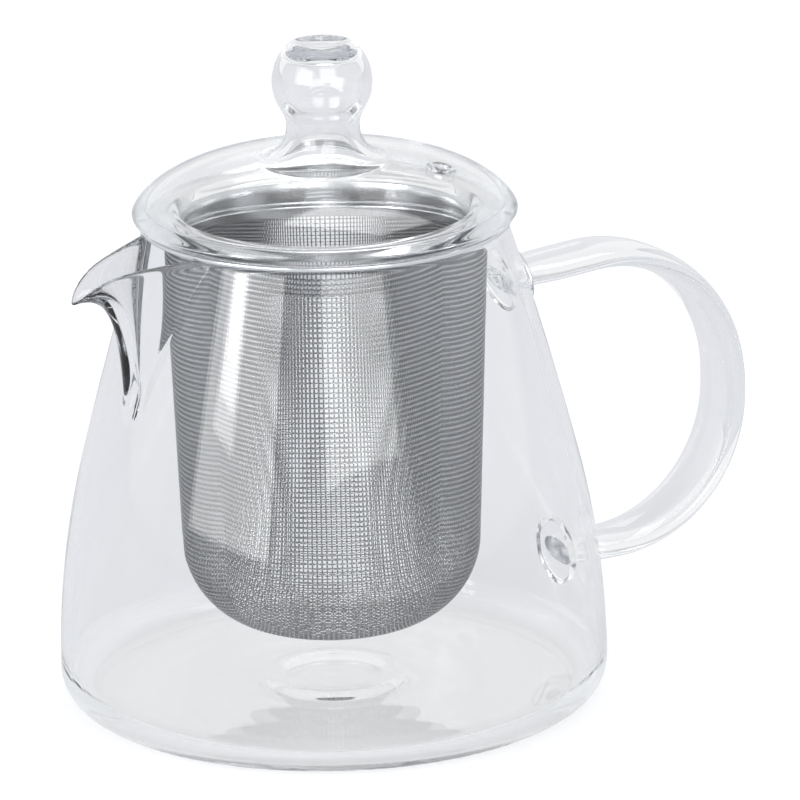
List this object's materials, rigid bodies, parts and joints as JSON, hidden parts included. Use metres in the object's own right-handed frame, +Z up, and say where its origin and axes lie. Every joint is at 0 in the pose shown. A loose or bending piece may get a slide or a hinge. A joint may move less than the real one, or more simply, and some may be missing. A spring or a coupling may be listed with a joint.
{
  "type": "glass teapot with strainer",
  "caption": "Blown glass teapot with a pulled pouring lip and strap handle, a full-depth woven steel strainer hung in the mouth and a domed glass lid with a ball knob.",
  "frame": {"origin": "centre of the base ring, on the surface that the pot stands on", "axes": "+Z up along the pot's axis, +X towards the handle, -X towards the pouring lip"},
  "size_m": [0.1637, 0.118, 0.1444],
  "materials": {
    "pot_glass": "clear blown borosilicate glass, fire polished",
    "handle_glass": "clear pulled glass strap",
    "rim_steel": "satin stainless steel sheet",
    "mesh_steel": "plain-woven stainless wire cloth",
    "lid_glass": "clear blown glass",
    "knob_glass": "clear blown glass",
    "skirt_glass": "clear glass"
  },
  "bodies": {
    "pot": {"pot_body": "pot_glass", "handle": "handle_glass"},
    "strainer": {"strainer_rim": "rim_steel", "strainer_basket": "mesh_steel"},
    "lid": {"lid_dome": "lid_glass", "lid_knob": "knob_glass", "lid_skirt": "skirt_glass"}
  },
  "joints": [
    {"name": "strainer_lift", "type": "slide", "parent": "pot", "child": "strainer", "axis": [0, 0, 1], "range_m": [0, 0.11]},
    {"name": "lid_lift", "type": "slide", "parent": "strainer", "child": "lid", "axis": [0, 0, 1], "range_m": [0, 0.03]}
  ]
}
